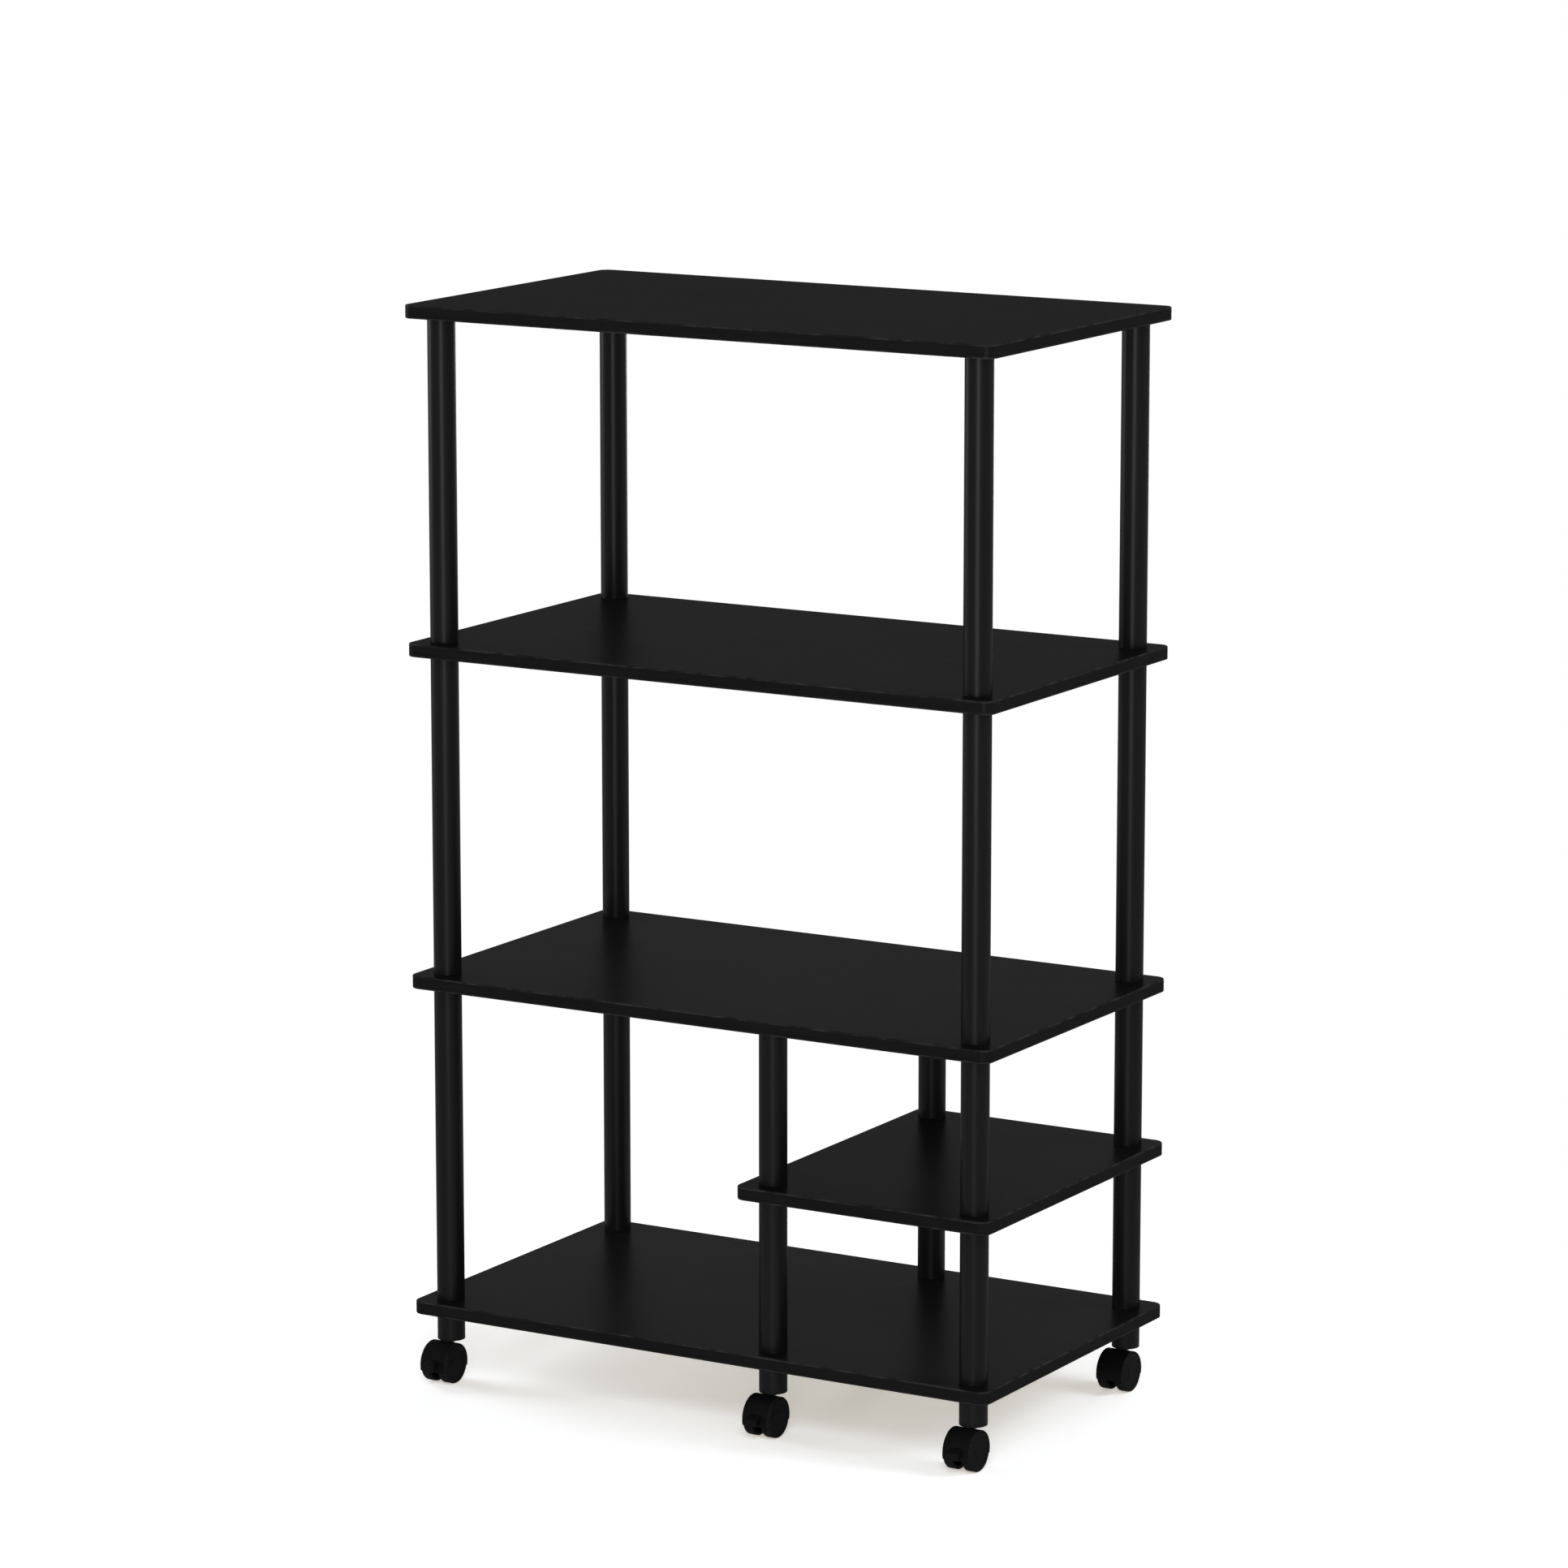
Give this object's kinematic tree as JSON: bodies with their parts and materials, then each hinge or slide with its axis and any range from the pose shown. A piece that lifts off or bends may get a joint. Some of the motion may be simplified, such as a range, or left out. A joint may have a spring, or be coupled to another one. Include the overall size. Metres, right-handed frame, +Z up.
{
  "type": "kitchen storage cart",
  "caption": "Open black kitchen storage cart: flat shelves on screwed tube posts, a half shelf at the lower right, and swivelling twin-wheel casters with foot brakes in front.",
  "frame": {"origin": "floor level, under the middle of the overall footprint", "axes": "+X to the right seen from the front, +Y to the rear, +Z up; the braked casters are at the front"},
  "size_m": [0.6, 0.3556, 0.994],
  "materials": {
    "shelf_board": "matte black wood-grain laminate over composite board",
    "post_tube": "satin black",
    "tube_plug": "moulded black",
    "caster_hood": "satin moulded black",
    "caster_wheel": "satin moulded black",
    "brake_lever": "satin moulded black",
    "steel_pin": "bright zinc"
  },
  "bodies": {
    "cart_frame": {"bottom_shelf": "shelf_board", "half_shelf": "shelf_board", "middle_shelf": "shelf_board", "upper_shelf": "shelf_board", "top_shelf": "shelf_board", "front_left_lower_post": "post_tube", "front_left_middle_post": "post_tube", "front_left_upper_post": "post_tube", "front_left_leg": "post_tube", "front_middle_lower_short_post": "post_tube", "front_middle_upper_short_post": "post_tube", "front_middle_leg": "post_tube", "front_right_lower_short_post": "post_tube", "front_right_upper_short_post": "post_tube", "front_right_middle_post": "post_tube", "front_right_upper_post": "post_tube", "front_right_leg": "post_tube", "rear_left_lower_post": "post_tube", "rear_left_middle_post": "post_tube", "rear_left_upper_post": "post_tube", "rear_left_leg": "post_tube", "rear_middle_lower_short_post": "post_tube", "rear_middle_upper_short_post": "post_tube", "rear_middle_leg": "post_tube", "rear_right_lower_short_post": "post_tube", "rear_right_upper_short_post": "post_tube", "rear_right_middle_post": "post_tube", "rear_right_upper_post": "post_tube", "rear_right_leg": "post_tube", "threaded_studs": "tube_plug", "threaded_sockets": "tube_plug", "leg_plugs": "tube_plug", "caster_stems": "steel_pin"},
    "front_left_caster": {"front_left_caster_hood": "caster_hood", "front_left_caster_axle": "steel_pin"},
    "front_left_left_wheel": {"front_left_caster_left_wheel": "caster_wheel"},
    "front_left_right_wheel": {"front_left_caster_right_wheel": "caster_wheel"},
    "front_left_brake": {"front_left_caster_brake_lever": "brake_lever"},
    "front_middle_caster": {"front_middle_caster_hood": "caster_hood", "front_middle_caster_axle": "steel_pin"},
    "front_middle_left_wheel": {"front_middle_caster_left_wheel": "caster_wheel"},
    "front_middle_right_wheel": {"front_middle_caster_right_wheel": "caster_wheel"},
    "front_middle_brake": {"front_middle_caster_brake_lever": "brake_lever"},
    "front_right_caster": {"front_right_caster_hood": "caster_hood", "front_right_caster_axle": "steel_pin"},
    "front_right_left_wheel": {"front_right_caster_left_wheel": "caster_wheel"},
    "front_right_right_wheel": {"front_right_caster_right_wheel": "caster_wheel"},
    "front_right_brake": {"front_right_caster_brake_lever": "brake_lever"},
    "rear_left_caster": {"rear_left_caster_hood": "caster_hood", "rear_left_caster_axle": "steel_pin"},
    "rear_left_left_wheel": {"rear_left_caster_left_wheel": "caster_wheel"},
    "rear_left_right_wheel": {"rear_left_caster_right_wheel": "caster_wheel"},
    "rear_middle_caster": {"rear_middle_caster_hood": "caster_hood", "rear_middle_caster_axle": "steel_pin"},
    "rear_middle_left_wheel": {"rear_middle_caster_left_wheel": "caster_wheel"},
    "rear_middle_right_wheel": {"rear_middle_caster_right_wheel": "caster_wheel"},
    "rear_right_caster": {"rear_right_caster_hood": "caster_hood", "rear_right_caster_axle": "steel_pin"},
    "rear_right_left_wheel": {"rear_right_caster_left_wheel": "caster_wheel"},
    "rear_right_right_wheel": {"rear_right_caster_right_wheel": "caster_wheel"}
  },
  "joints": [
    {"name": "front_left_swivel", "type": "hinge", "parent": "cart_frame", "child": "front_left_caster", "pos_m": [-0.274, -0.13825, 0.0373], "axis": [0, 0, 1], "continuous": true},
    {"name": "front_left_left_wheel_spin", "type": "hinge", "parent": "front_left_caster", "child": "front_left_left_wheel", "pos_m": [-0.274, -0.15125, 0.0178], "axis": [1, 0, 0], "continuous": true},
    {"name": "front_left_right_wheel_spin", "type": "hinge", "parent": "front_left_caster", "child": "front_left_right_wheel", "pos_m": [-0.274, -0.15125, 0.0178], "axis": [1, 0, 0], "continuous": true},
    {"name": "front_left_brake_press", "type": "hinge", "parent": "front_left_caster", "child": "front_left_brake", "pos_m": [-0.274, -0.16375, 0.0168], "axis": [1, 0, 0], "range_deg": [0, 15]},
    {"name": "front_middle_swivel", "type": "hinge", "parent": "cart_frame", "child": "front_middle_caster", "pos_m": [0.07, -0.13825, 0.0373], "axis": [0, 0, 1], "continuous": true},
    {"name": "front_middle_left_wheel_spin", "type": "hinge", "parent": "front_middle_caster", "child": "front_middle_left_wheel", "pos_m": [0.07, -0.15125, 0.0178], "axis": [1, 0, 0], "continuous": true},
    {"name": "front_middle_right_wheel_spin", "type": "hinge", "parent": "front_middle_caster", "child": "front_middle_right_wheel", "pos_m": [0.07, -0.15125, 0.0178], "axis": [1, 0, 0], "continuous": true},
    {"name": "front_middle_brake_press", "type": "hinge", "parent": "front_middle_caster", "child": "front_middle_brake", "pos_m": [0.07, -0.16375, 0.0168], "axis": [1, 0, 0], "range_deg": [0, 15]},
    {"name": "front_right_swivel", "type": "hinge", "parent": "cart_frame", "child": "front_right_caster", "pos_m": [0.274, -0.13825, 0.0373], "axis": [0, 0, 1], "continuous": true},
    {"name": "front_right_left_wheel_spin", "type": "hinge", "parent": "front_right_caster", "child": "front_right_left_wheel", "pos_m": [0.274, -0.15125, 0.0178], "axis": [1, 0, 0], "continuous": true},
    {"name": "front_right_right_wheel_spin", "type": "hinge", "parent": "front_right_caster", "child": "front_right_right_wheel", "pos_m": [0.274, -0.15125, 0.0178], "axis": [1, 0, 0], "continuous": true},
    {"name": "front_right_brake_press", "type": "hinge", "parent": "front_right_caster", "child": "front_right_brake", "pos_m": [0.274, -0.16375, 0.0168], "axis": [1, 0, 0], "range_deg": [0, 15]},
    {"name": "rear_left_swivel", "type": "hinge", "parent": "cart_frame", "child": "rear_left_caster", "pos_m": [-0.274, 0.15175, 0.0373], "axis": [0, 0, 1], "continuous": true},
    {"name": "rear_left_left_wheel_spin", "type": "hinge", "parent": "rear_left_caster", "child": "rear_left_left_wheel", "pos_m": [-0.274, 0.13875, 0.0178], "axis": [1, 0, 0], "continuous": true},
    {"name": "rear_left_right_wheel_spin", "type": "hinge", "parent": "rear_left_caster", "child": "rear_left_right_wheel", "pos_m": [-0.274, 0.13875, 0.0178], "axis": [1, 0, 0], "continuous": true},
    {"name": "rear_middle_swivel", "type": "hinge", "parent": "cart_frame", "child": "rear_middle_caster", "pos_m": [0.07, 0.15175, 0.0373], "axis": [0, 0, 1], "continuous": true},
    {"name": "rear_middle_left_wheel_spin", "type": "hinge", "parent": "rear_middle_caster", "child": "rear_middle_left_wheel", "pos_m": [0.07, 0.13875, 0.0178], "axis": [1, 0, 0], "continuous": true},
    {"name": "rear_middle_right_wheel_spin", "type": "hinge", "parent": "rear_middle_caster", "child": "rear_middle_right_wheel", "pos_m": [0.07, 0.13875, 0.0178], "axis": [1, 0, 0], "continuous": true},
    {"name": "rear_right_swivel", "type": "hinge", "parent": "cart_frame", "child": "rear_right_caster", "pos_m": [0.274, 0.15175, 0.0373], "axis": [0, 0, 1], "continuous": true},
    {"name": "rear_right_left_wheel_spin", "type": "hinge", "parent": "rear_right_caster", "child": "rear_right_left_wheel", "pos_m": [0.274, 0.13875, 0.0178], "axis": [1, 0, 0], "continuous": true},
    {"name": "rear_right_right_wheel_spin", "type": "hinge", "parent": "rear_right_caster", "child": "rear_right_right_wheel", "pos_m": [0.274, 0.13875, 0.0178], "axis": [1, 0, 0], "continuous": true}
  ]
}
